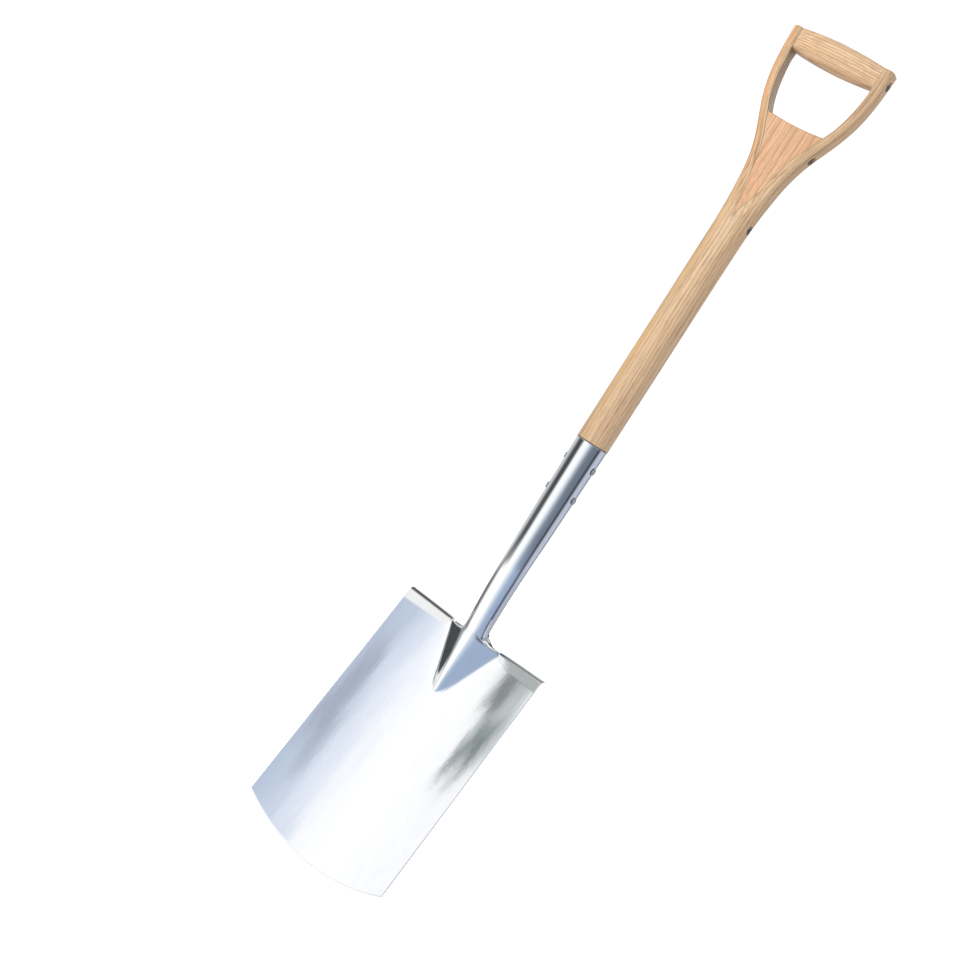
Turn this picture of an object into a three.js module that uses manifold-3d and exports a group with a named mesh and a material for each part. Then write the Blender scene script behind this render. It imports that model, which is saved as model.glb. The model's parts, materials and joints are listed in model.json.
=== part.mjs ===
// Garden digging spade: pressed stainless blade with folded treads and a raised frog, tapered
// tubular socket, ash shaft split and bent into a D handle with a wedge and a barrel crossbar.
// Millimetres, +Z up along the shaft, the blade's hollow face towards -Y, x = 0 is the plane
// of symmetry. Heights are measured from the middle of the cutting edge.
import * as THREE from "three";
import { mergeVertices } from "three/addons/utils/BufferGeometryUtils.js";
import Module from "manifold-3d";

// ---------------------------------------------------------------- driving dimensions
const GAP = 0.3; // clearance between neighbouring pieces

// blade
const SHEET = 2.0; // sheet thickness
const BLADE_HALF_TOP = 93; // half width at the treads
const BLADE_HALF_TIP = 95.5; // half width at the cutting edge
const EDGE_RISE = 23.6; // height of the corners above the middle of the cutting edge
const BLADE_TOP = 290.5; // top of the flat sheet below the treads
const BLADE_CORNER_Y = 10.4; // where the top corners stand behind the shaft axis
const CANT = 0.2508; // forward lean of the blade, run per rise
const DISH = 9.5; // depth of the hollow across the blade
const TREAD_TOP = 291.4; // height of the flat foot rests at their outer ends
const TREAD_FALL = 0.047; // fall per length towards the neck
const TREAD_DEPTH = 8.5; // front to back
const TREAD_ROUND = 5; // rounding of the inner end of a tread

// frog, the raised triangular pressing
const FROG_HALF = 33; // half width at its top
const FROG_TIP_Z = 213;
const FROG_TOP_Z = 286.5;
const FROG_HEIGHT = 25; // how far the ridge stands out at the neck
const FROG_ROUND = 0.3; // roundness of the ridge
const NECK_Z = 292.5; // top of the pressing on the ridge line

// socket
const SOCKET_TOP = 528;
const SOCKET_R_TOP = 18.1;
const SOCKET_R_NECK = 13.6;
const SOCKET_WALL = 1.8;
const SOCKET_BEND_Z = 380; // below this the socket curves back to the frog
const SOCKET_BEND = 9; // how far it has moved back at the neck
const SPIGOT_Z = 270; // lower end, hidden behind the frog
const SPIGOT_R = 11.1;

// wooden shaft
const SHAFT_R = 18.7;
const TENON_Z = 392; // bottom of the wood inside the socket
const FORK_Z = 760; // the flare starts here
const FORK_MID = 908.5; // height where the arms spread fastest
const FORK_LENGTH = 48;
const HANDLE_HALF = 61.9; // half width over the arms
const ARM_THICK = 11;
const ARM_DEPTH = 10.2; // half depth of the arms
const HANDLE_BACK = 4; // how far the handle leans behind the shaft axis
const HANDLE_TOP = 1011; // top of the arms
const SPLIT_Z = 812; // bottom of the split
const WEDGE_TOP = 919;
const WEDGE_SAG = 2; // hollow in the wedge's top edge

// crossbar
const BAR_BOTTOM = 987.5;
const BAR_BELLY = 3.5; // extra thickness below in the middle
const BAR_CROWN = 2.2; // extra thickness above in the middle
const BAR_SWELL = 3.5; // extra half depth in the middle

// rivets
const RIVET_R = 2.5;
const HEAD_R = 4.2;
const HEAD_H = 2.0;
const ROVE_H = 0.9;
const CLENCH_SINK = 1.0; // extra depth of the seat under a clenched left end
const SOCKET_RIVETS = [467, 504];
const SPLIT_RIVET_Z = 802;
const WEDGE_RIVET_Z = 895;
const BAR_ROD_Z = 997;

// ---------------------------------------------------------------- materials
const material = (colour, roughness, metalness) =>
  new THREE.MeshStandardMaterial({ color: colour, roughness, metalness });
const steel = () => material("#c9ced4", 0.22, 1.0);
const rivetSteel = () => material("#b4b8bd", 0.35, 1.0);
const weldSteel = () => material("#a9adb2", 0.45, 1.0);
const ash = () => material("#d9b283", 0.55, 0.0);
const wedgeAsh = () => material("#dca97c", 0.55, 0.0);

// ---------------------------------------------------------------- helpers
const wasm = await Module();
wasm.setup();
const { clamp, lerp, smoothstep } = THREE.MathUtils;

function closed(geometry) {
  const plain = geometry.clone();
  plain.deleteAttribute("normal");
  plain.deleteAttribute("uv");
  return mergeVertices(plain, 1e-4);
}

function solidOf(geometry) {
  const g = closed(geometry);
  return new wasm.Manifold(
    new wasm.Mesh({
      numProp: 3,
      vertProperties: new Float32Array(g.attributes.position.array),
      triVerts: new Uint32Array(g.index.array),
    }),
  );
}

function geometryOf(solid) {
  const m = solid.getMesh();
  const g = new THREE.BufferGeometry();
  const xyz = new Float32Array((m.vertProperties.length / m.numProp) * 3);
  for (let i = 0; i < xyz.length / 3; i += 1) {
    for (let k = 0; k < 3; k += 1) xyz[3 * i + k] = m.vertProperties[m.numProp * i + k];
  }
  g.setAttribute("position", new THREE.BufferAttribute(xyz, 3));
  g.setIndex(new THREE.BufferAttribute(new Uint32Array(m.triVerts), 1));
  return g;
}

// moves every corner of a geometry through a function
function mapped(geometry, place) {
  const p = geometry.attributes.position;
  for (let i = 0; i < p.count; i += 1) {
    p.setXYZ(i, ...place(p.getX(i), p.getY(i), p.getZ(i)));
  }
  return geometry;
}

// round bar along X through the axis at height z
function barAlongX(radius, x0, x1, y, z, segments = 16) {
  const g = new THREE.CylinderGeometry(radius, radius, x1 - x0, segments);
  g.rotateZ(-Math.PI / 2);
  return g.translate((x0 + x1) / 2, y, z);
}

// point at an angle on a rounded rectangle [x0,x1] x [-d,d] with one radius for the corners
// at x1 and one for those at x0; square = 0 makes it an ellipse instead
function roundedSection(angle, x0, x1, d, outer, inner, square = 1) {
  const c = Math.cos(angle);
  const s = Math.sin(angle);
  const middle = (x0 + x1) / 2;
  const towards = c > -1e-6 ? 1 : -1;
  const r = towards > 0 ? outer : inner;
  const reach = towards > 0 ? x1 - middle : middle - x0;
  const t = Math.atan2(Math.abs(s), Math.abs(c)) / (Math.PI / 2);
  const bend = clamp((t - 0.125) / 0.75, 0, 1) * (Math.PI / 2);
  let x = reach - r + r * Math.cos(bend);
  let y = d - r + r * Math.sin(bend);
  if (t < 0.125) y = (d - r) * (t / 0.125);
  if (t > 0.875) x = (reach - r) * ((1 - t) / 0.125);
  x = lerp(reach * Math.abs(c), x, square);
  y = lerp(d * Math.abs(s), y, square);
  return [middle + towards * x, Math.sign(s) * y];
}

// ---------------------------------------------------------------- blade
const bladeHalf = (z) => lerp(BLADE_HALF_TIP, BLADE_HALF_TOP, clamp(z / BLADE_TOP, 0, 1));

// front face of the dished sheet without the frog
function sheetY(x, z) {
  const across = x / bladeHalf(z);
  return BLADE_CORNER_Y - CANT * (BLADE_TOP - z) + DISH * (1 - across * across);
}

const frogHalf = (z) =>
  FROG_HALF * clamp((z - FROG_TIP_Z) / (FROG_TOP_Z - FROG_TIP_Z), 0, 1) ** 0.85;

// how far the frog stands out in front of the sheet
function frogRise(x, z) {
  const half = frogHalf(z);
  const q = Math.abs(x) / Math.max(half, 1e-6);
  if (q >= 1) return 0;
  const along = clamp((z - FROG_TIP_Z) / (NECK_Z - FROG_TIP_Z), 0, 1);
  const height = FROG_HEIGHT * (1 - (1 - along) ** 1.35);
  const rim = Math.hypot(1, FROG_ROUND);
  return (height * (rim - Math.hypot(q, FROG_ROUND))) / (rim - FROG_ROUND);
}

const bladeFront = (x, z) => sheetY(x, z) - frogRise(x, z);

const edgeRadius = (BLADE_HALF_TIP ** 2 + EDGE_RISE ** 2) / (2 * EDGE_RISE);
const cuttingEdge = (x) => edgeRadius - Math.sqrt(edgeRadius ** 2 - x * x);

const treadZ = (x) => TREAD_TOP - TREAD_FALL * (BLADE_HALF_TOP - Math.abs(x));

// upper rim of the sheet: straight under the treads, a low arch across the frog
function bladeRim(x) {
  const a = Math.abs(x);
  const under = treadZ(x) - 0.9;
  if (a >= FROG_HALF) return under;
  const arch = (NECK_Z - 287) * (1 - smoothstep(a, 6, 22));
  return 287 + arch + (under - 287) * smoothstep(a, FROG_HALF - 2.5, FROG_HALF);
}

// a point of a sheet whose front face is y = face(x, z), depth measured square to the face
function sheetPoint(face, x, z, depth) {
  const h = 0.05;
  const dx = (face(x + h, z) - face(x - h, z)) / (2 * h);
  const dz = (face(x, z + h) - face(x, z - h)) / (2 * h);
  const length = Math.hypot(dx, 1, dz);
  return [x - (depth * dx) / length, face(x, z) + depth / length, z - (depth * dz) / length];
}

const COLUMNS = 32;
const ROWS = 20;
const FOLD_ROW = 205; // rows lie closer together above this height

function bladeSheet() {
  const inner = 0.5; // share of the columns used across the frog
  return mapped(new THREE.BoxGeometry(2, 1, 1, COLUMNS, ROWS, 1), (a, b, c) => {
    const row = b + 0.5;
    const nominal = row < 0.3 ? (row / 0.3) * FOLD_ROW : lerp(FOLD_ROW, 290, (row - 0.3) / 0.7);
    const fan = nominal < FROG_TIP_Z ? (FROG_TIP_Z - nominal) * 0.6 : 0;
    const half = clamp(Math.max(frogHalf(nominal), fan), 5, 44);
    const edge = bladeHalf(nominal);
    const u = Math.abs(a);
    const offset = u < inner ? (u / inner) * half : lerp(half, edge, (u - inner) / (1 - inner));
    const x = Math.sign(a) * offset;
    const low = cuttingEdge(clamp(x, -BLADE_HALF_TIP, BLADE_HALF_TIP));
    const z =
      nominal < FOLD_ROW
        ? lerp(low, FOLD_ROW, nominal / FOLD_ROW)
        : lerp(FOLD_ROW, bladeRim(x), (nominal - FOLD_ROW) / (290 - FOLD_ROW));
    return sheetPoint(bladeFront, x, z, (0.5 - c) * SHEET);
  });
}

// the folded foot rest on one side, side = -1 left or +1 right
function tread(side) {
  return mapped(new THREE.BoxGeometry(1, 1, 1, 12, 4, 1), (a, b, c) => {
    const along = (side > 0 ? a : -a) + 0.5;
    const x = lerp(FROG_HALF, BLADE_HALF_TOP, along * along * 0.4 + along * 0.6);
    const inEnd = clamp((FROG_HALF + TREAD_ROUND - x) / TREAD_ROUND, 0, 1);
    const depth = Math.max(TREAD_DEPTH * Math.sqrt(1 - inEnd * inEnd * 0.85), SHEET);
    const y = sheetY(x, treadZ(x)) + (b + 0.5) * depth;
    const top = treadZ(x);
    return [side * x, y, c > 0 ? top : top - SHEET];
  });
}

function bladeSolid() {
  let blade = solidOf(bladeSheet());
  for (const side of [-1, 1]) blade = blade.add(solidOf(tread(side)));
  return blade;
}

// ---------------------------------------------------------------- socket
// how far the socket's centre line stands behind the shaft axis
const socketBack = (z) =>
  1.1 * smoothstep(SOCKET_TOP - z, 0, 110) +
  (SOCKET_BEND - 1.1) * clamp((SOCKET_BEND_Z - z) / (SOCKET_BEND_Z - NECK_Z), 0, 1) ** 2.2 -
  0.08 * Math.max(NECK_Z - z, 0);
const socketRadius = (z) =>
  lerp(SOCKET_R_NECK, SOCKET_R_TOP, clamp((z - NECK_Z) / (SOCKET_TOP - NECK_Z), 0, 1));

// a round bar that follows the socket's bent axis, from [radius, height] pairs
function bentLathe(profile, segments = 28) {
  const points = profile.map(([r, z]) => new THREE.Vector2(r, z));
  const g = new THREE.LatheGeometry(points, segments);
  return mapped(g, (x, y, z) => [x, socketBack(Math.max(y, SPIGOT_Z)) - z, y]);
}

function steps(from, to, count) {
  return Array.from({ length: count + 1 }, (_, i) => lerp(from, to, i / count));
}

function socketSolid() {
  const base = NECK_Z + GAP;
  const heights = [...steps(base, SOCKET_BEND_Z, 6), ...steps(430, SOCKET_TOP - 0.6, 2)];
  const outer = [
    [0, SPIGOT_Z],
    [SPIGOT_R - 2.2, SPIGOT_Z],
    [SPIGOT_R, base],
    ...heights.map((z) => [socketRadius(z), z]),
    [SOCKET_R_TOP - 0.5, SOCKET_TOP],
    [0, SOCKET_TOP],
  ];
  const bore = [
    [0, SPIGOT_Z - 5],
    [SPIGOT_R - 4.2, SPIGOT_Z - 5],
    [SPIGOT_R - 2, base],
    ...heights.slice(1).map((z) => [socketRadius(z) - SOCKET_WALL, z]),
    [SOCKET_R_TOP - SOCKET_WALL, SOCKET_TOP + 5],
    [0, SOCKET_TOP + 5],
  ];
  let socket = solidOf(bentLathe(outer)).subtract(solidOf(bentLathe(bore)));
  for (const z of SOCKET_RIVETS) {
    socket = socket.subtract(solidOf(barAlongX(RIVET_R + GAP, -30, 30, 0, z)));
  }
  return socket;
}

// ---------------------------------------------------------------- back plate and welds
const PLATE = 2.0;
const PLATE_HALF = 36.5; // half width where the plate meets the treads
const PLATE_TIP_Z = 200;
const PLATE_TOP = 297;

// half width of the plate at height z, a tongue with a round tip
function plateHalf(z) {
  const t = clamp((z - PLATE_TIP_Z) / (FROG_TOP_Z - PLATE_TIP_Z), 0, 1);
  return PLATE_HALF * t ** 0.62;
}

// front face of the plate: lies against the back of the sheet, hugs the socket above
function plateFront(x, z) {
  const lying = sheetY(x, z) + SHEET * Math.hypot(1, CANT) + GAP + 0.15;
  const r = SOCKET_R_NECK + 3 * GAP;
  const behind = socketBack(z) + Math.sqrt(Math.max(r * r - x * x, 0));
  const reach = smoothstep(z, 278, 292) * (1 - smoothstep(Math.abs(x), 8, 17));
  return lerp(lying, Math.max(behind, lying - 4), reach);
}

function plateSolid() {
  const rimZ = (x) => lerp(PLATE_TOP, 287.6, smoothstep(Math.abs(x), 3, 24));
  return solidOf(
    mapped(new THREE.BoxGeometry(2, 1, 1, 18, 10, 1), (a, b, c) => {
      const row = b + 0.5;
      const nominal = lerp(PLATE_TIP_Z + 0.6, FROG_TOP_Z, row);
      const x = a * Math.min(plateHalf(nominal), FROG_HALF - 1.6 + 4 * (1 - row));
      const z = lerp(PLATE_TIP_Z + 0.6, rimZ(x), row);
      return sheetPoint(plateFront, x, z, (0.5 - c) * PLATE);
    }),
  );
}

// round bead laid along a curve, `up` is roughly square to it
function bead(points, radius, segments, up) {
  const curve = new THREE.CatmullRomCurve3(points);
  return solidOf(
    mapped(new THREE.CylinderGeometry(1, 1, 1, 8, segments), (a, b, c) => {
      const t = clamp(b + 0.5, 0, 1);
      const along = curve.getTangent(t);
      const across = new THREE.Vector3().crossVectors(along, up).normalize();
      const out = new THREE.Vector3().crossVectors(across, along);
      const p = curve.getPoint(t);
      p.addScaledVector(across, radius * a).addScaledVector(out, radius * c);
      return [p.x, p.y, p.z];
    }),
  );
}

// weld along one side of the plate, down the blade's back
function seamWeld(side) {
  const points = steps(208, 283, 7).map((z) => {
    const edge = Math.min(plateHalf(z), FROG_HALF - 1.6 + 1.5);
    const x = edge + 1.9;
    return new THREE.Vector3(side * x, sheetY(x, z) + SHEET * Math.hypot(1, CANT) + 1.35, z);
  });
  return bead(points, 1.0, 12, new THREE.Vector3(0, 1, 0));
}

// weld across the top of the plate on the back of the socket
function neckWeld() {
  const points = steps(-60, 60, 8).map((degrees) => {
    const t = (degrees * Math.PI) / 180;
    const z = PLATE_TOP + 1.9 - 4.2 * Math.abs(degrees / 60) ** 1.7;
    const r = socketRadius(z) + 1.35;
    return new THREE.Vector3(r * Math.sin(t), socketBack(z) + r * Math.cos(t), z);
  });
  return bead(points, 1.0, 12, new THREE.Vector3(0, 0, 1));
}

// ---------------------------------------------------------------- wooden handle
// outer half width of the shaft and arms
const armOuter = (z) =>
  SHAFT_R + ((HANDLE_HALF - SHAFT_R) / 2) * (1 + Math.tanh((z - FORK_MID) / FORK_LENGTH));

// inner half width, negative below the split
const armInner = (z) =>
  armOuter(z) - ARM_THICK - (SHAFT_R - ARM_THICK + 1.4) * (1 - smoothstep(z, SPLIT_Z - 17, 848));

// half depth of the shaft and arms
const armDepth = (z) => lerp(SHAFT_R, ARM_DEPTH, smoothstep(z, 770, 895));

// backward lean of the handle
const handleY = (z) => HANDLE_BACK * smoothstep(z, 765, 910);

// outside of the shaft and both arms, round below and flattened at the handle
function handleBody() {
  const low = SOCKET_TOP + GAP;
  return solidOf(
    mapped(new THREE.CylinderGeometry(1, 1, 1, 24, 28), (a, b, c) => {
      const row = b + 0.5;
      const z = row < 0.08 ? lerp(low, FORK_Z, row / 0.08) : lerp(FORK_Z, HANDLE_TOP, (row - 0.08) / 0.92);
      const radial = Math.min(Math.hypot(a, c), 1);
      const square = smoothstep(z, 785, 880);
      const half = armOuter(z);
      const [x, y] = roundedSection(Math.atan2(c, a), -half, half, armDepth(z), 5, 5, square);
      return [x * radial, handleY(z) - y * radial, z];
    }),
  );
}

// the space between the arms, filled by the wedge below and the crossbar above
function forkGap() {
  return solidOf(
    mapped(new THREE.BoxGeometry(2, 60, 1, 1, 1, 20), (a, b, c) => {
      const z = lerp(SPLIT_Z, HANDLE_TOP + 6, c + 0.5);
      return [a * Math.max(armInner(z), 0.8), b, z];
    }),
  );
}

// the end of the wood inside the socket
function tenonSolid() {
  const tenon = (z) => socketRadius(z) - SOCKET_WALL - GAP;
  const profile = [
    [0, TENON_Z],
    [tenon(TENON_Z) - 3, TENON_Z],
    [tenon(TENON_Z + 4), TENON_Z + 4],
    [tenon(SOCKET_TOP), SOCKET_TOP],
    [tenon(SOCKET_TOP), SOCKET_TOP + 10],
    [0, SOCKET_TOP + 10],
  ];
  return solidOf(bentLathe(profile, 24));
}

const seatX = (z, sunk) => armOuter(z) - sunk;
const HANDLE_RIVETS = [
  { z: SPLIT_RIVET_Z, seat: seatX(SPLIT_RIVET_Z, 2.0) },
  { z: WEDGE_RIVET_Z, seat: seatX(WEDGE_RIVET_Z, 2.6) },
  { z: BAR_ROD_Z, seat: seatX(BAR_ROD_Z, 1.9) },
];

function shaftSolid() {
  let shaft = handleBody().subtract(forkGap()).add(tenonSolid());
  for (const z of SOCKET_RIVETS) {
    shaft = shaft.subtract(solidOf(barAlongX(RIVET_R + GAP, -30, 30, 0, z)));
  }
  for (const { z, seat } of HANDLE_RIVETS) {
    shaft = shaft.subtract(solidOf(barAlongX(RIVET_R + GAP, -80, 80, handleY(z), z)));
    shaft = shaft.subtract(solidOf(barAlongX(HEAD_R + 0.7, seat, seat + 12, handleY(z), z)));
    const clenchSeat = seat - CLENCH_SINK;
    shaft = shaft.subtract(solidOf(barAlongX(HEAD_R + 0.7, -seat - 12, -clenchSeat, handleY(z), z)));
  }
  return shaft;
}

function wedgeSolid() {
  const foot = SPLIT_Z + 1;
  let wedge = solidOf(
    mapped(new THREE.BoxGeometry(2, 2, 1, 8, 1, 14), (a, b, c) => {
      const top = WEDGE_TOP - WEDGE_SAG * (1 - a * a);
      const z = lerp(foot, top, c + 0.5);
      const half = Math.max(armInner(z) - GAP, 0.5);
      return [a * half, handleY(z) + b * (armDepth(z) - 0.1), z];
    }),
  );
  wedge = wedge.subtract(solidOf(barAlongX(RIVET_R + GAP, -60, 60, handleY(WEDGE_RIVET_Z), WEDGE_RIVET_Z)));
  return wedge;
}

function crossbarSolid() {
  const half = armInner(BAR_ROD_Z) - GAP;
  let bar = solidOf(
    mapped(new THREE.CylinderGeometry(1, 1, 2, 24, 10).rotateZ(-Math.PI / 2), (a, b, c) => {
      const radial = Math.min(Math.hypot(b, c), 1);
      const angle = Math.atan2(c, b);
      const belly = 1 - a * a;
      const high = HANDLE_TOP + BAR_CROWN * belly;
      const low = BAR_BOTTOM - BAR_BELLY * belly;
      const depth = ARM_DEPTH - 0.2 + BAR_SWELL * belly;
      const under = 5 + 5 * belly;
      const [z, y] = roundedSection(angle, low, high, depth, 3.5, under);
      const height = lerp((low + high) / 2, z, radial);
      return [a * (armInner(height) - GAP), HANDLE_BACK - y * radial, height];
    }),
  );
  bar = bar.subtract(solidOf(barAlongX(RIVET_R + GAP, -half - 5, half + 5, HANDLE_BACK, BAR_ROD_Z)));
  return bar;
}

// ---------------------------------------------------------------- rivets and roves
// a through rivet along X with a domed head at each end, seats are where the heads bear
function rivetSolid(z, left, right) {
  const dome = (seat) =>
    steps(0, 90, 4).map((degrees) => {
      const t = (degrees * Math.PI) / 180;
      return [HEAD_R * Math.cos(t), seat + HEAD_H * (0.25 + 0.75 * Math.sin(t))];
    });
  const below = dome(left).map(([r, h]) => [r, -h]).reverse();
  const profile = [
    ...below,
    [HEAD_R, -left],
    [RIVET_R, -left],
    [RIVET_R, right],
    [HEAD_R, right],
    ...dome(right),
  ];
  profile[0][0] = 0;
  profile[profile.length - 1][0] = 0;
  const points = profile.map(([r, h]) => new THREE.Vector2(r, h));
  const g = new THREE.LatheGeometry(points, 16);
  g.rotateZ(-Math.PI / 2);
  return solidOf(g.translate(0, handleY(z), z));
}

function roveSolid(z, seat) {
  const disc = solidOf(barAlongX(HEAD_R + 0.2, -seat - GAP - ROVE_H, -seat - GAP, handleY(z), z, 16));
  return disc.subtract(solidOf(barAlongX(RIVET_R + GAP, -seat - 5, -seat + 5, handleY(z), z)));
}

// ---------------------------------------------------------------- assembly
const spade = new THREE.Group();
spade.name = "garden_spade";
const head = new THREE.Group();
head.name = "head";
const handle = new THREE.Group();
handle.name = "handle";
spade.add(head, handle);

function piece(group, name, solid, look) {
  const mesh = new THREE.Mesh(geometryOf(solid), look);
  mesh.name = name;
  group.add(mesh);
}

piece(head, "blade", bladeSolid(), steel());
piece(head, "back_plate", plateSolid(), steel());
piece(head, "seam_weld_left", seamWeld(-1), weldSteel());
piece(head, "seam_weld_right", seamWeld(1), weldSteel());
piece(head, "neck_weld", neckWeld(), weldSteel());
piece(head, "socket", socketSolid(), steel());
SOCKET_RIVETS.forEach((z, i) => {
  const seat = socketRadius(z) + GAP;
  piece(head, i ? "socket_rivet_upper" : "socket_rivet_lower", rivetSolid(z, seat, seat), steel());
});
piece(handle, "shaft", shaftSolid(), ash());
piece(handle, "wedge", wedgeSolid(), wedgeAsh());
piece(handle, "crossbar", crossbarSolid(), ash());
["split_rivet", "wedge_rivet", "crossbar_rod"].forEach((name, i) => {
  const { z, seat } = HANDLE_RIVETS[i];
  const clenchSeat = seat - CLENCH_SINK;
  const clenched = clenchSeat + GAP + ROVE_H + GAP;
  piece(handle, name, rivetSolid(z, clenched, seat + GAP), rivetSteel());
  piece(handle, name + "_rove", roveSolid(z, clenchSeat), rivetSteel());
});

// put the middle of the overall depth on y = 0 and the cutting edge on z = 0
const box = new THREE.Box3().setFromObject(spade);
spade.traverse((node) => {
  if (node.isMesh) node.geometry.translate(0, -(box.min.y + box.max.y) / 2, -box.min.z);
});

export default spade;
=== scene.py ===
import json
import math

import bmesh
import bpy
import numpy as np
from mathutils import Matrix, Vector

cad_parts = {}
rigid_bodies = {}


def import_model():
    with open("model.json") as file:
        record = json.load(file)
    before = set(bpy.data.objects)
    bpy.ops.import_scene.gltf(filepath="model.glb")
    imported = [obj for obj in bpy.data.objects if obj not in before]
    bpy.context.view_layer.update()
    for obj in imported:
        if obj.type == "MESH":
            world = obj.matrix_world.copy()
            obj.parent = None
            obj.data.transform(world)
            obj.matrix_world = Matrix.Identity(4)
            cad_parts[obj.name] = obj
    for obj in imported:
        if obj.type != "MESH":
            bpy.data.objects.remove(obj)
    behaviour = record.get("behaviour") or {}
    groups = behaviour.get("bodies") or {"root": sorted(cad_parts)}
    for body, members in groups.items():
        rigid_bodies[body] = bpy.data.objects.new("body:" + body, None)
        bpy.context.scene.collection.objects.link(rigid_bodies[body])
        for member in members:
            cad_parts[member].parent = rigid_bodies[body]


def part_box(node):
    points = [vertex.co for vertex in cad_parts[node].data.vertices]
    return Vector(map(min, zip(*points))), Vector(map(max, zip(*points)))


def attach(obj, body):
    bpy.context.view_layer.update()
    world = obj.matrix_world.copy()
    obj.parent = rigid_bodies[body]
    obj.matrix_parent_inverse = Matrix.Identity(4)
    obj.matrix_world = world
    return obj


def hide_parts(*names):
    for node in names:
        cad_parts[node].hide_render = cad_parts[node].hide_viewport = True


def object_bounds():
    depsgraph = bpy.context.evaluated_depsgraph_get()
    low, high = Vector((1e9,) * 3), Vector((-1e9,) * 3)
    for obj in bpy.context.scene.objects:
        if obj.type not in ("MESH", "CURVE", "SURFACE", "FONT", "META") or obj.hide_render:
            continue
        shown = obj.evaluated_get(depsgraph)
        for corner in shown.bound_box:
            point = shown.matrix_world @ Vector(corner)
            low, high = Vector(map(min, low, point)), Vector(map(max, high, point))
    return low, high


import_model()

CAD_LOW, CAD_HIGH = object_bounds()

# Shapes below are in millimetres with the shaft's axis at y = 0 and the middle of the cutting
# edge at z = 0. The lower socket rivet lies across that axis and gives the shift to the frame.
LOWER_RIVET_Z = 0.467
RIVET_LOW, RIVET_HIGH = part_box("socket_rivet_lower")
SHIFT = np.array([0.0, (RIVET_LOW.y + RIVET_HIGH.y) / 2, (RIVET_LOW.z + RIVET_HIGH.z) / 2 - LOWER_RIVET_Z])


# ---------------------------------------------------------------- number helpers
def clamp(v, low=0.0, high=1.0):
    return np.minimum(np.maximum(v, low), high)


def lerp(a, b, t):
    return a + (b - a) * t


def smooth(v, low, high):
    t = clamp((v - low) / (high - low))
    return t * t * (3 - 2 * t)


# ---------------------------------------------------------------- mesh helpers
def add_object(name, data):
    thing = bpy.data.objects.new(name, data)
    bpy.context.scene.collection.objects.link(thing)
    return thing


def add_mesh(name, points, faces):
    """A mesh from millimetre points in the spade's own coordinates."""
    mesh = bpy.data.meshes.new(name)
    mesh.from_pydata((np.asarray(points) * 0.001 + SHIFT).tolist(), [], faces)
    return mesh


def make_piece(name, points, faces, sharp, replaces):
    """A smooth-shaded piece that rides on the one body; edges over sharp degrees stay crisp."""
    mesh = add_mesh(name, points, faces)
    mesh.validate()
    mesh.shade_smooth()
    mesh.set_sharp_from_angle(angle=math.radians(sharp))
    piece = add_object(name, mesh)
    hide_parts(*replaces)
    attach(piece, "root")
    return piece


def grid_faces(rows, columns, close_columns=False, start=0):
    faces = []
    last = columns if close_columns else columns - 1
    for i in range(rows - 1):
        for j in range(last):
            k = (j + 1) % columns
            a = start + i * columns
            b = a + columns
            faces.append((a + j, a + k, b + k, b + j))
    return faces


def flipped(faces):
    return [tuple(reversed(f)) for f in faces]


def capped_faces(rows, columns):
    """Faces of a stack of closed rings, with a cap on the first ring and on the last."""
    bottom = tuple(range(columns))[::-1]
    top = tuple((rows - 1) * columns + j for j in range(columns))
    return grid_faces(rows, columns, close_columns=True) + [bottom, top]


def slab(near, far):
    """Points and faces of the solid between two grids that face away from each other."""
    rows, columns = near.shape[:2]
    size = rows * columns
    points = np.concatenate([near.reshape(-1, 3), far.reshape(-1, 3)])
    faces = grid_faces(rows, columns) + flipped(grid_faces(rows, columns, start=size))
    ring = list(range(columns)) + [i * columns + columns - 1 for i in range(1, rows)]
    ring += [(rows - 1) * columns + j for j in range(columns - 2, -1, -1)]
    ring += [i * columns for i in range(rows - 2, 0, -1)]
    for p, q in zip(ring, ring[1:] + ring[:1]):
        faces.append((q, p, p + size, q + size))
    return points, faces


def lathe_points(profile, segments):
    """Rows of rings about +Z from (radius, height) pairs."""
    turn = np.linspace(0, 2 * math.pi, segments, endpoint=False)
    rows = [[(r * math.cos(t), r * math.sin(t), h) for t in turn] for r, h in profile]
    return np.array(rows, float)


def soften(piece, width):
    """Rounds the piece's sharp edges, width in millimetres."""
    bevel = piece.modifiers.new("edges", "BEVEL")
    bevel.width = width * 0.001
    bevel.segments = 2
    bevel.limit_method = "ANGLE"
    bevel.angle_limit = math.radians(40)


def store_grain(piece, place):
    """Keeps the coordinates that the wood's grain follows, in metres, one set per vertex."""
    mesh = piece.data
    local = (np.array([v.co for v in mesh.vertices]) - SHIFT) * 1000
    grain = np.stack(place(local[:, 0], local[:, 1], local[:, 2]), axis=1) * 0.001
    attribute = mesh.attributes.new("grain", "FLOAT_VECTOR", "POINT")
    attribute.data.foreach_set("vector", grain.astype(np.float32).ravel())


# ---------------------------------------------------------------- the spade's shape
SHEET = 2.0
BLADE_HALF_TOP, BLADE_HALF_TIP = 93.0, 95.5
EDGE_RISE = 23.6
BLADE_TOP, BLADE_CORNER_Y, CANT, DISH = 290.5, 10.4, 0.2508, 9.5
TREAD_TOP, TREAD_FALL, TREAD_DEPTH, TREAD_ROUND = 291.4, 0.047, 8.5, 5.0
FROG_HALF, FROG_TIP_Z, FROG_TOP_Z, FROG_HEIGHT, FROG_ROUND = 33.0, 215.0, 286.5, 25.0, 0.3
NOSE_HALF, NOSE_HEIGHT = 4.5, 2.2
RIM_Z, CURL = 287.0, 1.3
PLATE_HALF, PLATE_THICK, PLATE_FOOT_Z, PLATE_TOP_Z, PLATE_SHOULDER_Z = 36.5, 2.0, 200.0, 297.0, 287.6
WELD_R = 1.0
NECK_Z, SOCKET_TOP, SOCKET_R_TOP, SOCKET_R_NECK, SOCKET_WALL = 292.5, 528.0, 18.1, 13.6, 1.8
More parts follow.
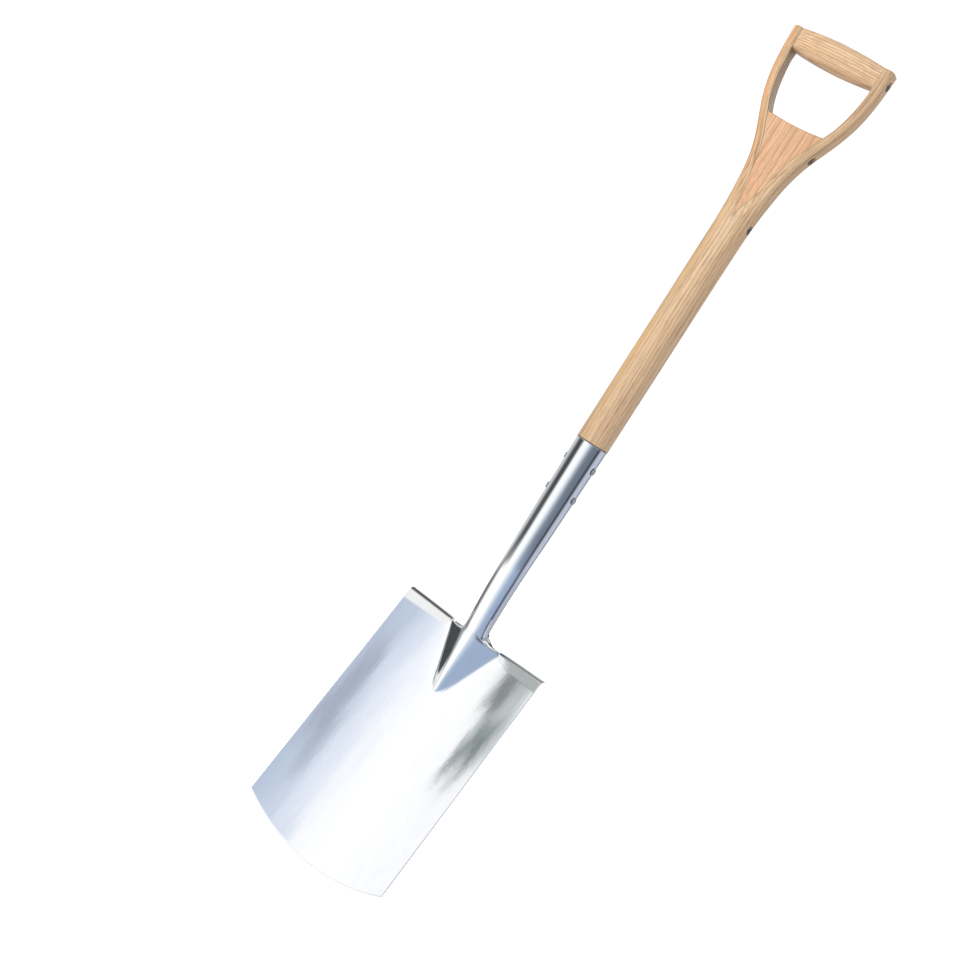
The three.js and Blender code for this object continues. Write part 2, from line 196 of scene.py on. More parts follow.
SOCKET_BEND_Z, SOCKET_BEND = 380.0, 9.0
SHAFT_R, FORK_MID, FORK_LENGTH, HANDLE_HALF = 18.7, 908.5, 48.0, 61.9
ARM_THICK, ARM_DEPTH, HANDLE_BACK, HANDLE_TOP, TOP_ROUND = 11.0, 10.2, 4.0, 1011.0, 1.6
SPLIT_Z, WEDGE_TOP, WEDGE_SAG = 812.0, 919.0, 2.0
BAR_BOTTOM, BAR_BELLY, BAR_CROWN, BAR_SWELL = 987.5, 3.5, 2.2, 3.5
RIVET_R, HEAD_R, HEAD_H, SOCKET_HEAD_H, ROVE_H, GAP, JOINT = 2.5, 4.2, 2.0, 1.5, 0.9, 0.3, 0.16
SOCKET_RIVETS = {"socket_rivet_lower": 467.0, "socket_rivet_upper": 504.0}
HANDLE_RIVETS = {"split_rivet": (802.0, 2.0), "wedge_rivet": (895.0, 2.6), "crossbar_rod": (997.0, 1.9)}
CLENCH_SINK = 1.0


def blade_half(z):
    return lerp(BLADE_HALF_TIP, BLADE_HALF_TOP, clamp(z / BLADE_TOP))


def sheet_y(x, z):
    across = x / blade_half(z)
    return BLADE_CORNER_Y - CANT * (BLADE_TOP - z) + DISH * (1 - across * across)


def frog_half(z):
    """Straight creases that spread from a blunt nose."""
    along = clamp((z - FROG_TIP_Z) / (FROG_TOP_Z - FROG_TIP_Z))
    return (FROG_HALF - NOSE_HALF) * along + NOSE_HALF * (1 - np.exp(-along / 0.045))


def frog_rise(x, z):
    """How far the pressing stands out, with a small fillet where it leaves the sheet."""
    half = np.maximum(frog_half(z), 0.4)
    q = np.abs(x) / half
    along = clamp((z - FROG_TIP_Z) / (NECK_Z - FROG_TIP_Z))
    height = (FROG_HEIGHT - NOSE_HEIGHT) * along * (1.06 - 0.06 * along)
    height += NOSE_HEIGHT * (1 - np.exp(-along / 0.08))
    rim = math.hypot(1, FROG_ROUND)
    rise = height * (rim - np.hypot(q, FROG_ROUND)) / (rim - FROG_ROUND)
    fillet = np.minimum(0.7, 0.15 * height)
    apron = 0.5 * np.minimum(height / 8, 1) * np.exp(-np.maximum(np.abs(x) - half, 0) / 4)
    return (rise + np.sqrt(rise * rise + fillet * fillet)) / 2 + apron


def curl(x, z):
    """The sheet leans back a little more just under the treads."""
    return CURL * clamp((z - 276) / 15) ** 2 * smooth(np.abs(x), 30, 40)


def blade_front(x, z):
    return sheet_y(x, z) - frog_rise(x, z) + curl(x, z)


def cutting_edge(x):
    radius = (BLADE_HALF_TIP**2 + EDGE_RISE**2) / (2 * EDGE_RISE)
    return radius - np.sqrt(radius**2 - x * x)


def tread_z(x):
    return TREAD_TOP - TREAD_FALL * (BLADE_HALF_TOP - np.abs(x))


def blade_rim(x):
    """Top edge of the sheet: the frog's rim, arched at the neck, then the foot rests."""
    a = np.abs(x)
    tread = tread_z(x)
    arch = (NECK_Z - RIM_Z) * (1 - smooth(a, 6, 22))
    frog = RIM_Z + arch + (tread - RIM_Z) * smooth(a, FROG_HALF - 2.5, FROG_HALF)
    return np.where(a >= FROG_HALF, tread, frog)


def socket_back(z):
    return (
        1.1 * smooth(SOCKET_TOP - z, 0, 110)
        + (SOCKET_BEND - 1.1) * clamp((SOCKET_BEND_Z - z) / (SOCKET_BEND_Z - NECK_Z)) ** 2.2
        - 0.08 * np.maximum(NECK_Z - z, 0)
    )


def socket_radius(z):
    return lerp(SOCKET_R_NECK, SOCKET_R_TOP, clamp((z - NECK_Z) / (SOCKET_TOP - NECK_Z)))


def arm_outer(z):
    return SHAFT_R + (HANDLE_HALF - SHAFT_R) / 2 * (1 + np.tanh((z - FORK_MID) / FORK_LENGTH))


def arm_inner(z):
    return arm_outer(z) - ARM_THICK - (SHAFT_R - ARM_THICK + 1.4) * (1 - smooth(z, SPLIT_Z - 17, 848))


def arm_depth(z):
    return lerp(SHAFT_R, ARM_DEPTH, smooth(z, 770, 895))


def handle_y(z):
    return HANDLE_BACK * smooth(z, 765, 910)


# ---------------------------------------------------------------- steel pieces
def bezier(a, b, c, t):
    return (1 - t) ** 2 * a + 2 * t * (1 - t) * b + t * t * c


def blade_columns():
    """Position across the blade, -1 to 1, closer together near the frog's rim and the edges."""
    inner = 0.5 * (1 - (1 - np.linspace(0, 1, 27)) ** 1.25)
    outer = 0.5 + 0.5 * np.linspace(0, 0.985, 42)[1:] ** 1.15
    outer = np.concatenate([outer, 1 - np.array([0.9, 0.5, 0.22, 0.06, 0.0]) / 120])
    half = np.concatenate([inner, outer])
    return np.concatenate([-half[:0:-1], half])


def sheet_thickness(x, z):
    """Distance from the front to the back surface along y, larger where the sheet slopes."""
    h = 0.05
    slope_x = (blade_front(x + h, z) - blade_front(x - h, z)) / (2 * h)
    slope_z = (blade_front(x, z + h) - blade_front(x, z - h)) / (2 * h)
    return SHEET * np.sqrt(1 + np.minimum(slope_x**2, 1.2) + np.minimum(slope_z**2, 0.5))


def build_blade():
    """Dished sheet with the pressed frog, its top folded back into the two foot rests."""
    low_end, low_part = 205, 0.3
    across = blade_columns()
    u = np.abs(across)
    edge_rows = np.array([0, 0.2, 0.5, 0.9, 1.5, 3.0]) / low_end * low_part
    rows = np.concatenate([edge_rows, np.linspace(0.009, low_part, 34)[:-1], np.linspace(low_part, 1, 84)])
    lower, upper = rows / low_part * low_end, lerp(low_end, 290, (rows - low_part) / (1 - low_part))
    nominal = np.where(rows < low_part, lower, upper)[:, None]
    fan = np.where(nominal < FROG_TIP_Z, (FROG_TIP_Z - nominal) * 0.6, 0)
    half = clamp(np.maximum(frog_half(nominal), fan), 5, 44)
    x = np.sign(across) * np.where(u < 0.5, u / 0.5 * half, lerp(half, blade_half(nominal), (u - 0.5) / 0.5))

    def heights(low, high):
        below = lerp(low, low_end, nominal / low_end)
        return np.where(nominal < low_end, below, lerp(low_end, high, (nominal - low_end) / (290 - low_end)))

    last = x[-1]
    top = blade_rim(last)
    folded = smooth(np.abs(last), FROG_HALF - 0.4, FROG_HALF + 0.8)
    fold = lerp(0.5, 3.2, folded)
    low = cutting_edge(clamp(x, -BLADE_HALF_TIP, BLADE_HALF_TIP))
    front_z = heights(low, top - fold)
    front_y = blade_front(x, front_z) + 0.75 * clamp(1 - (front_z - low) / 1.3) ** 2
    back_z = heights(low + 0.2, top - SHEET - 0.8)
    ground = 0.5 * clamp(1 - (back_z - low) / 6)
    back_y = blade_front(x, back_z) + sheet_thickness(x, back_z) * (1 - ground)

    face_y = blade_front(last, top)
    in_end = clamp((FROG_HALF + TREAD_ROUND - np.abs(last)) / TREAD_ROUND)
    sheet = sheet_thickness(last, top - 1)
    depth = lerp(sheet, TREAD_DEPTH * np.sqrt(np.maximum(1 - 0.94 * in_end**2, 0.02)), folded)
    rear = face_y + np.maximum(depth, sheet) - curl(last, top) * folded
    bend_y = np.minimum(face_y + fold, rear - 0.5)

    outer = [(x[i], front_y[i], front_z[i]) for i in range(len(rows))]
    inner = [(x[i], back_y[i], back_z[i]) for i in range(len(rows))]
    inner_y = np.minimum(back_y[-1] + 0.9, rear - 0.5)
    for t in np.linspace(0, 1, 8)[1:]:
        outer.append((last, bezier(front_y[-1], face_y, bend_y, t), bezier(front_z[-1], top, top, t)))
        bent_y = bezier(back_y[-1], back_y[-1] + 0.1, inner_y, t)
        bent_z = bezier(back_z[-1], top - SHEET, top - SHEET, t)
        straight = lerp(back_z[-1], top - 0.8, t)
        inner.append((last, lerp(back_y[-1], bent_y, folded), lerp(straight, bent_z, folded)))
    for t in np.linspace(0, 1, 5)[1:]:
        outer.append((last, lerp(bend_y, rear - 0.5, t), top))
        inner.append((last, lerp(inner[-1][1], rear - 0.5, t * folded), lerp(top - 0.8, top - SHEET, folded)))
    cap = []
    for degrees in (50, 0, -50):
        a = math.radians(degrees)
        cap_z = lerp(top - 0.4, top - SHEET / 2, folded) + lerp(0.4, SHEET / 2, folded) * math.sin(a)
        cap.append((last, rear - 0.5 + 0.5 * math.cos(a), cap_z))
    n = len(outer)
    loop = np.array([np.stack(p) for p in outer + cap + inner[::-1]])
    loop = np.transpose(loop, (0, 2, 1))
    round_side_edges(loop, n, across)
    count = len(loop)
    faces = grid_faces(len(across), count, close_columns=True)
    for column, turn in ((0, False), (len(across) - 1, True)):
        a = column * count
        strip = [(a + i, a + i + 1, a + count - 2 - i, a + count - 1 - i) for i in range(n - 1)]
        strip.append(tuple(a + n - 1 + k for k in range(5)))
        faces += flipped(strip) if turn else strip
    points = np.transpose(loop, (1, 0, 2)).reshape(-1, 3)
    return make_piece("blade_sheet", points, flipped(faces), 48, ["blade"])


def round_side_edges(loop, n, across):
    """Draws the front and back surfaces together over the last millimetre before each side edge."""
    inset = (1 - np.abs(across)) * 120
    rounding = 0.92 * (1 - np.sqrt(clamp(1 - (1 - clamp(inset / 0.9)) ** 2)))[None, :, None]
    front, back = loop[:n].copy(), loop[-n:][::-1].copy()
    middle = (front + back) / 2
    loop[:n] = lerp(front, middle, rounding)
    loop[-n:] = lerp(back, middle, rounding)[::-1]
    loop[n : n + 3] = lerp(loop[n : n + 3], middle[-1], 0.6 * rounding)


def plate_half(z):
    return PLATE_HALF * clamp((z - PLATE_FOOT_Z) / (FROG_TOP_Z - PLATE_FOOT_Z)) ** 0.62


def plate_top(x):
    return lerp(PLATE_TOP_Z, PLATE_SHOULDER_Z, smooth(np.abs(x), 3, 24))


def plate_front(x, z):
    """Near face of the back plate: flat on the sheet, wrapped round the socket at its top."""
    lying = sheet_y(x, z) + SHEET * math.hypot(1, CANT) + GAP + 0.15
    r = SOCKET_R_NECK + 3 * GAP
    behind = socket_back(z) + np.sqrt(np.maximum(r * r - x * x, 0))
    reach = smooth(z, 278, 292) * (1 - smooth(np.abs(x), 8, 17))
    return lerp(lying, np.maximum(behind, lying - 4), reach)


def build_plate():
    """Tongue-shaped plate that closes the hollow of the frog from behind."""
    foot_z = PLATE_FOOT_Z + 0.6
    a = np.sin(np.linspace(-math.pi / 2, math.pi / 2, 61))[None, :]
    row = (1 - np.cos(np.linspace(0, math.pi, 64)))[:, None] / 2
    nominal = lerp(foot_z, FROG_TOP_Z, row)
    x = a * np.minimum(plate_half(nominal), FROG_HALF - 1.6 + 4 * (1 - row))
    z = lerp(foot_z, plate_top(x), row)
    near = np.stack([x, plate_front(x, z), z], axis=2)
    far = near + np.array([0, PLATE_THICK, -0.25])
    rim = np.minimum(np.minimum(1 - np.abs(a), row), 1 - row)
    round_off = (0.75 * (1 - clamp(rim / 0.02)) ** 2)[..., None]
    middle = (near + far) / 2
    points, faces = slab(lerp(near, middle, round_off), lerp(far, middle, round_off))
    return make_piece("back_plate_sheet", points, faces, 50, ["back_plate"])


def tube_ring(turn, z, radius=None):
    """Ring of the socket at height z, turn measured from the front."""
    r = socket_radius(z) if radius is None else radius
    return np.stack([r * np.sin(turn), socket_back(z) - r * np.cos(turn), z + 0 * turn], axis=1)


def socket_foot(turn):
    """Where the socket's wall ends: tucked behind the frog's rim, and behind the plate's at the back."""
    a = np.degrees(np.abs(turn))
    spread = smooth(a, 22, 94) * (1 - smooth(a, 106, 165))
    x = np.sign(turn) * lerp(SOCKET_R_NECK * np.abs(np.sin(turn)), FROG_HALF - 2.7, spread)
    tuck = smooth(np.abs(x), 4, 13)
    front_z, back_z = blade_rim(x) - lerp(1.8, 0.35, tuck), plate_top(x) - 0.5
    front_y = blade_front(x, front_z) + lerp(-0.05, 0.75, tuck)
    back_y = plate_front(x, back_z) + 0.7
    side = smooth(a, 93, 107)
    return np.stack([x, lerp(front_y, back_y, side), lerp(front_z, back_z, side)], axis=1)


def build_socket():
    """Tapered tube, rolled lip at the top, swept back at the neck and spread into the frog."""
    shoulder, corner_weight, lip = 303.0, 1.7, 0.35
    turn = np.linspace(-math.pi, math.pi, 144, endpoint=False)
    foot = socket_foot(turn)
    corner = tube_ring(turn, foot[:, 2])
    top = tube_ring(turn, shoulder)
    rings = [lerp(np.array([0.0, 13.0, 284.0]), foot, 0.6)]
    for t in np.linspace(1, 0, 20):
        a, b, c = (1 - t) ** 2, 2 * corner_weight * t * (1 - t), t * t
        rings.append((a * top + b * corner + c * foot) / (a + b + c))
    spans = ((shoulder, 330, 18), (330, 390, 22), (390, SOCKET_TOP - 1.2, 24))
    heights = [np.linspace(low, high, count)[1:] for low, high, count in spans]
    for z in np.concatenate(heights + [[SOCKET_TOP - 0.8, SOCKET_TOP - 0.4]]):
        rings.append(tube_ring(turn, z))
    for degrees in (30, 60, 90, 120, 150, 180):
        a = math.radians(degrees)
        radius = SOCKET_R_TOP - lip + lip * math.cos(a)
        rings.append(tube_ring(turn, SOCKET_TOP - lip + lip * math.sin(a), radius))
    for inset, drop in ((0, 6), (0.2, 14)):
        rings.append(tube_ring(turn, SOCKET_TOP - drop, SOCKET_R_TOP - SOCKET_WALL - inset))
    faces = capped_faces(len(rings), len(turn))
    return make_piece("socket_tube", np.concatenate(rings), faces, 40, ["socket"])


def bead(name, path, up, node, ripple):
    """A weld bead along a curve, with the small overlapping scales of a hand-laid run."""
    tangent = np.gradient(path, axis=0)
    tangent /= np.linalg.norm(tangent, axis=1)[:, None]
    across = np.cross(tangent, up)
    across /= np.linalg.norm(across, axis=1)[:, None]
    out = np.cross(across, tangent)
    run = np.linspace(0, 1, len(path))
    ends = np.sqrt(clamp(1 - np.abs(2 * run - 1) ** 24))
    scales = 1 + 0.07 * np.abs(np.sin(run * math.pi * ripple))
    turns = np.linspace(0, 2 * math.pi, 20, endpoint=False)
    cos, sin = np.cos(turns)[:, None], np.sin(turns)[:, None]
    rings = []
    for i, p in enumerate(path):
        size = WELD_R * max(ends[i], 0.05) * scales[i] * 0.95
        lag = 0.35 * cos * tangent[i]
        rings.append(p + size * (cos * across[i] + sin * out[i]) + lag * ends[i])
    faces = flipped(capped_faces(len(path), len(turns)))
    return make_piece(name, np.concatenate(rings), faces, 60, [node])


def build_welds():
    """The plate's two seams on the blade and the run that ties its top edge to the socket."""
    z = np.linspace(208, 283, 180)
    x = np.minimum(plate_half(z), FROG_HALF - 0.1) + 1.9
    y = sheet_y(x, z) + SHEET * math.hypot(1, CANT) + 1.35
    for side, name in ((-1, "left"), (1, "right")):
        bead("weld_bead_" + name, np.stack([side * x, y, z], axis=1), (0, 1, 0), "seam_weld_" + name, 34)
    reach = math.radians(60)
    t = np.linspace(-reach, reach, 120)
    height = PLATE_TOP_Z + 1.9 - 4.2 * np.abs(t / reach) ** 1.7
    r = socket_radius(height) + 1.35
    path = np.stack([r * np.sin(t), socket_back(height) + r * np.cos(t), height], axis=1)
    bead("weld_bead_neck", path, (0, 0, 1), "neck_weld", 16)


# ---------------------------------------------------------------- wooden pieces
def half_depth_at(x, z):
    """Half depth of the shaft and arms at x, round below and flattened with rounded edges above."""
    half, depth = arm_outer(z), arm_depth(z)
    square = smooth(z, 785, 880)
    x = np.minimum(np.abs(x), half)
    ellipse = depth * np.sqrt(np.maximum(1 - (x / half) ** 2, 0))
    r = np.minimum(5.5, depth)
    over = np.maximum(x - (half - r), 0)
    flat = depth - r + np.sqrt(np.maximum(r * r - over * over, 0))
    return lerp(ellipse, flat, square)


def arm_section(z, count=46):
    """Closed outline of the right half at height z: outside first, then the inner face."""
    half = float(arm_outer(z))
    inner = max(float(arm_inner(z)), 0.0)
    ease = 0.3 * float(smooth(inner, 0, 1.5))
    open_zone = smooth(z, WEDGE_TOP - 1, WEDGE_TOP + 12) * (1 - smooth(z, BAR_BOTTOM - 9, BAR_BOTTOM))
    corner = ease + 2.9 * float(open_zone)
    t = np.linspace(0, math.pi / 2, 400)
    x = inner + corner + (half - inner - corner) * np.sin(t)
    y = half_depth_at(x, z)
    length = np.concatenate([[0], np.cumsum(np.hypot(np.diff(x), np.diff(y)))])
    even = np.linspace(0, length[-1], count)
    x, y = np.interp(even, length, x), np.interp(even, length, y)
    front = np.stack([x, -y], axis=1)
    back = np.stack([x, y], axis=1)[::-1]
    edge_y = float(half_depth_at(inner + corner, z))
    turn = np.linspace(0, math.pi / 2, 6)[1:]
    round_x, round_y = inner + corner * (1 - np.sin(turn)), edge_y - corner * (1 - np.cos(turn))
    round_back = np.stack([round_x, round_y], axis=1)
    face = np.linspace(edge_y - corner, -(edge_y - corner), 7)[1:-1]
    flat = np.stack([np.full(len(face), inner), face], axis=1)
    round_front = round_back[::-1] * np.array([1, -1])
    return np.concatenate([front, back[1:], round_back, flat, round_front[:-1]])


def shaft_grain(x, y, z):
    """Grain runs along the shaft and follows each arm outward."""
    return np.sign(x) * (np.abs(x) - arm_outer(z) + SHAFT_R), y - handle_y(z), z


def build_shaft():
    """One piece of ash: round shaft, split at the top and bent out into two arms."""
    spans = ((760, 800, 16), (800, 850, 41), (850, HANDLE_TOP - TOP_ROUND, 112))
    heights = [np.linspace(SOCKET_TOP + GAP, 760, 40)]
    heights += [np.linspace(low, high, count)[1:] for low, high, count in spans]
    levels = [(z, 0.0) for z in np.concatenate(heights)]
    for degrees in (25, 50, 72, 90):
        a = math.radians(degrees)
        levels.append((HANDLE_TOP - TOP_ROUND + TOP_ROUND * math.sin(a), TOP_ROUND * (1 - math.cos(a))))
    rings = []
    for z, inset in levels:
        outline = arm_section(z)
        centre = np.array([(arm_outer(z) + max(arm_inner(z), 0)) / 2, 0.0])
        if inset:
            outline = centre + (outline - centre) * (1 - inset / np.array([ARM_THICK / 2, ARM_DEPTH]))
        rings.append(np.column_stack([outline[:, 0], outline[:, 1] + handle_y(z), np.full(len(outline), z)]))
    right = np.concatenate(rings)
    faces = capped_faces(len(rings), len(rings[0]))
    left = right * np.array([-1, 1, 1])
    mirrored = [tuple(i + len(right) for i in f) for f in flipped(faces)]
    points = np.concatenate([right, left])
    piece = make_piece("ash_shaft", points, faces + mirrored, 35, ["shaft"])
    weld_halves(piece)
    for z, sunk in HANDLE_RIVETS.values():
        seat = float(arm_outer(z)) - sunk
        drill(piece, z, 1, seat)
        drill(piece, z, -1, seat - CLENCH_SINK)
    piece.data.shade_smooth()
    piece.data.set_sharp_from_angle(angle=math.radians(35))
    store_grain(piece, shaft_grain)
    return piece


def weld_halves(piece):
    """Joins the two halves of the round shaft and removes the wall between them."""
    tolerance = 2e-6
    mesh = bmesh.new()
    mesh.from_mesh(piece.data)
    bmesh.ops.remove_doubles(mesh, verts=mesh.verts, dist=tolerance)
    inside = [f for f in mesh.faces if all(abs(v.co.x) < tolerance for v in f.verts)]
    bmesh.ops.delete(mesh, geom=inside, context="FACES")
    bmesh.ops.recalc_face_normals(mesh, faces=mesh.faces)
    mesh.to_mesh(piece.data)
    mesh.free()


def crosswise(rings, z, side=1):
    """Turns a part made about +Z to lie across the handle at height z."""
    flat = rings.reshape(-1, 3)
    return np.column_stack([side * flat[:, 2], side * flat[:, 0] + handle_y(z), flat[:, 1] + z])


def drill(piece, z, side, seat):
    """Cuts the flat seat under a rivet head."""
    profile = [(0.001, seat), (HEAD_R + 0.6, seat), (HEAD_R + 0.9, seat + 0.4)]
    profile += [(HEAD_R + 0.9, seat + 12), (0.001, seat + 12)]
    points = crosswise(lathe_points(profile, 48), z, side)
    cutter = add_object("cutter", add_mesh("cutter", points, capped_faces(len(profile), 48)))
    cut = piece.modifiers.new("seat", "BOOLEAN")
    cut.operation = "DIFFERENCE"
    cut.solver = "EXACT"
    cut.object = cutter
    bpy.context.view_layer.update()
    shaped = bpy.data.meshes.new_from_object(piece.evaluated_get(bpy.context.evaluated_depsgraph_get()))
    piece.modifiers.remove(cut)
    piece.data = shaped
    bpy.data.objects.remove(cutter)


def build_wedge():
    """Ash wedge between the arms, flush with them, its top edge slightly hollow."""
    point_z = 805.2
    a = np.sin(np.linspace(-math.pi / 2, math.pi / 2, 41))[None, :]
    row = np.linspace(0, 1, 96)[:, None]
    z = lerp(point_z, WEDGE_TOP - WEDGE_SAG * (1 - a * a), row)
    x = a * np.maximum(arm_inner(z) - JOINT, 0.12)
    depth = half_depth_at(x, z) - 0.05
    near = np.stack([x, handle_y(z) - depth, z], axis=2)
    far = np.stack([x, handle_y(z) + depth, z], axis=2)
    points, faces = slab(near, far)
    piece = make_piece("ash_wedge", points, faces, 35, ["wedge"])
    store_grain(piece, lambda x, y, z: (x * (1 - 0.1 * smooth(z, 830, 920)), y, z))
    soften(piece, 0.35)
    return piece


def bar_outline(belly):
    """Section of the crossbar as (y, z) pairs; belly is 0 at the ends and 1 in the middle."""
    high = HANDLE_TOP + BAR_CROWN * belly
    low = BAR_BOTTOM - BAR_BELLY * belly
    depth = ARM_DEPTH - 0.2 + BAR_SWELL * belly
    crease = low + 1.6 + 6.6 * belly**0.8
    drop, sweep, under, r = crease - low, min(4.0 + 5.5 * belly, depth), 4 + 6 * belly, 3.2
    arc = np.linspace(0, math.pi / 2, 9)
    out = [(-depth + r - r * math.sin(t), high - r + r * math.cos(t)) for t in arc]
    out += [(-depth, lerp(high - r, crease, t)) for t in np.linspace(0, 1, 13)[1:]]
    for t in np.linspace(0, 1, 15)[1:]:
        y = bezier(-depth, -depth + 0.30 * sweep, -depth + sweep, t)
        out.append((y, bezier(crease, low + 0.12 * drop, low, t)))
    out += [(lerp(-depth + sweep, depth - under, t), low) for t in np.linspace(0, 1, 5)[1:]]
    for t in np.linspace(0, math.pi / 2, 12)[1:]:
        out.append((depth - under + under * math.sin(t), low + under - under * math.cos(t)))
    out += [(depth, lerp(low + under, high - r, t)) for t in np.linspace(0, 1, 7)[1:]]
    out += [(depth - r + r * math.cos(t), high - r + r * math.sin(t)) for t in arc[1:]]
    out += [(lerp(depth - r, -depth + r, t), high) for t in np.linspace(0, 1, 7)[1:-1]]
    return out


def build_crossbar():
    """Barrel crossbar: flat front, rounded belly that starts at an arched edge, rounded back."""
    rings = []
    for a in np.linspace(-1, 1, 97):
        outline = bar_outline(1 - a * a)
        rings.append([(a * (float(arm_inner(z)) - JOINT), HANDLE_BACK + y, z) for y, z in outline])
    faces = capped_faces(len(rings), len(rings[0]))
    piece = make_piece("ash_crossbar", np.concatenate(rings), faces, 13, ["crossbar"])
    store_grain(piece, lambda x, y, z: (z, y, x))
    return piece


# ---------------------------------------------------------------- rivets
def rivet_profile(left, right, height):
    """Half section of a through rivet with a low dome at each end."""
    def dome(seat):
        turn = np.radians(np.linspace(0, 90, 12))
        return [(HEAD_R * math.cos(t), seat + height * (0.2 + 0.8 * math.sin(t))) for t in turn]

    below = [(r, -h) for r, h in dome(left)][::-1]
    waist = [(HEAD_R - 0.15, -left), (RIVET_R, -left), (RIVET_R, right), (HEAD_R - 0.15, right)]
    return [(max(r, 0.02), h) for r, h in below + waist + dome(right)]


def build_rivet(name, z, left, right, height):
    profile = rivet_profile(left, right, height)
    points = crosswise(lathe_points(profile, 40), z)
    return make_piece(name + "_pin", points, capped_faces(len(profile), 40), 40, [name])


def build_rove(name, z, seat):
    """The washer that the left end of a handle rivet is clenched over."""
    inner, outer, near, far = RIVET_R + GAP, HEAD_R + 0.2, -seat - GAP - ROVE_H, -seat - GAP
    profile = [(inner, near), (outer - 0.35, near), (outer - 0.1, near + 0.1), (outer, near + 0.35)]
    profile += [(outer, far - 0.1), (outer - 0.1, far), (inner, far)]
    points = crosswise(lathe_points(profile, 40), z)
    rows = len(profile)
    faces = grid_faces(rows, 40, close_columns=True)
    faces += [((rows - 1) * 40 + j, (rows - 1) * 40 + (j + 1) % 40, (j + 1) % 40, j) for j in range(40)]
    return make_piece(name + "_washer", points, faces, 40, [name + "_rove"])


def build_rivets():
    for name, z in SOCKET_RIVETS.items():
        seat = float(socket_radius(z)) + GAP
        build_rivet(name, z, seat, seat, SOCKET_HEAD_H)
    for name, (z, sunk) in HANDLE_RIVETS.items():
        seat = float(arm_outer(z)) - sunk
        clench = seat - CLENCH_SINK
        build_rivet(name, z, clench + GAP + ROVE_H + GAP, seat + GAP, HEAD_H)
        build_rove(name, z, clench)


# ---------------------------------------------------------------- material helpers
class Recipe:
    """Short calls for laying out the nodes of a material or of the world."""

    def __init__(self, owner):
        owner.use_nodes = True
        self.owner = owner
        self.tree = owner.node_tree

    def add(self, kind, **settings):
        node = self.tree.nodes.new(kind)
        for key, value in settings.items():
            setattr(node, key, value)
        return node

    def put(self, socket, value):
        if isinstance(value, bpy.types.NodeSocket):
            self.tree.links.new(value, socket)
        else:
            socket.default_value = value

    def shade(self, **inputs):
        """Fills inputs of the Principled shader; an underscore stands for a space."""
        shader = self.tree.nodes["Principled BSDF"]
        for key, value in inputs.items():
            self.put(shader.inputs[key.replace("_", " ")], value)

    def coordinates(self, grain=False):
        if grain:
            return self.add("ShaderNodeAttribute", attribute_name="grain").outputs["Vector"]
        return self.add("ShaderNodeTexCoord").outputs["Object"]

    def noise(self, vector, scale, detail, roughness, distortion=0.0):
        node = self.add("ShaderNodeTexNoise")
        self.put(node.inputs["Vector"], vector)
        node.inputs["Scale"].default_value = scale
        node.inputs["Detail"].default_value = detail
        node.inputs["Roughness"].default_value = roughness
        node.inputs["Distortion"].default_value = distortion
        return node.outputs["Fac"]

    def stretched(self, vector, scale, detail, roughness, shift=(0, 0, 0), distortion=0.0):
        """Noise with its own scale along each axis."""
        node = self.add("ShaderNodeMapping")
        self.put(node.inputs["Vector"], vector)
        node.inputs["Scale"].default_value = scale
        node.inputs["Location"].default_value = shift
        return self.noise(node.outputs["Vector"], 1.0, detail, roughness, distortion)

    def math(self, operation, a, b=0.0, c=0.0):
        node = self.add("ShaderNodeMath", operation=operation)
        for socket, value in zip(node.inputs, (a, b, c)):
            self.put(socket, value)
        return node.outputs[0]

    def times(self, a, b):
        return self.math("MULTIPLY", a, b)

    def line(self, value, slope, start):
        return self.math("MULTIPLY_ADD", value, slope, start)

    def ramp(self, factor, stops):
        node = self.add("ShaderNodeValToRGB")
        self.put(node.inputs["Fac"], factor)
        elements = node.color_ramp.elements
        while len(elements) < len(stops):
            elements.new(0.5)
        for element, (place, colour) in zip(elements, stops):
            element.position = place
        for element, (place, colour) in zip(elements, stops):
            element.color = (*colour, 1) if isinstance(colour, tuple) else (colour, colour, colour, 1)
        return node.outputs["Color"]

    def rise(self, factor, low, high):
        return self.ramp(factor, [(low, 0.0), (high, 1.0)])

    def mix(self, factor, a, b):
        node = self.add("ShaderNodeMix", data_type="RGBA")
        self.put(node.inputs["Factor"], factor)
        for socket, value in ((node.inputs[6], a), (node.inputs[7], b)):
            self.put(socket, (*value, 1) if isinstance(value, tuple) else value)
        return node.outputs[2]

    def stain(self, tone, mask, amount, colour):
        """Puts a colour over the tone where the mask is, at the given strength."""
        return self.mix(self.times(mask, amount), tone, colour)

    def bump(self, height, strength, distance, normal=None):
        node = self.add("ShaderNodeBump")
        self.put(node.inputs["Height"], height)
        node.inputs["Strength"].default_value = strength
        node.inputs["Distance"].default_value = distance
        if normal is not None:
            self.put(node.inputs["Normal"], normal)
        return node.outputs["Normal"]


# ---------------------------------------------------------------- steel
def polished_steel(name, stretch, waviness, roughness):
    """Mirror-polished stainless sheet: lengthwise polishing lines, slow waves, hairline marks."""
    r = Recipe(bpy.data.materials.new(name))
    place = r.coordinates()
    lines = r.stretched(place, stretch, 6.0, 0.62)
    cloud = r.noise(place, 26.0, 3.0, 0.5)
    scratch = r.rise(r.stretched(place, (90, 90, 900), 2.0, 0.5, distortion=1.2), 0.68, 0.72)
    tone = r.mix(lines, (0.86, 0.87, 0.885), (0.97, 0.97, 0.975))
    tone = r.stain(tone, cloud, 0.10, (0.80, 0.84, 0.88))
    tone = r.stain(tone, scratch, 0.10, (0.62, 0.63, 0.65))
    rough = r.line(scratch, 0.05, r.line(lines, 0.05, roughness))
    wave = r.bump(r.stretched(place, (9.0, 9.0, 5.0), 1.5, 0.4), waviness, 0.004)
    r.shade(Base_Color=tone, Metallic=1.0, Roughness=rough, Normal=r.bump(lines, 0.05, 0.0006, wave))
    return r.owner


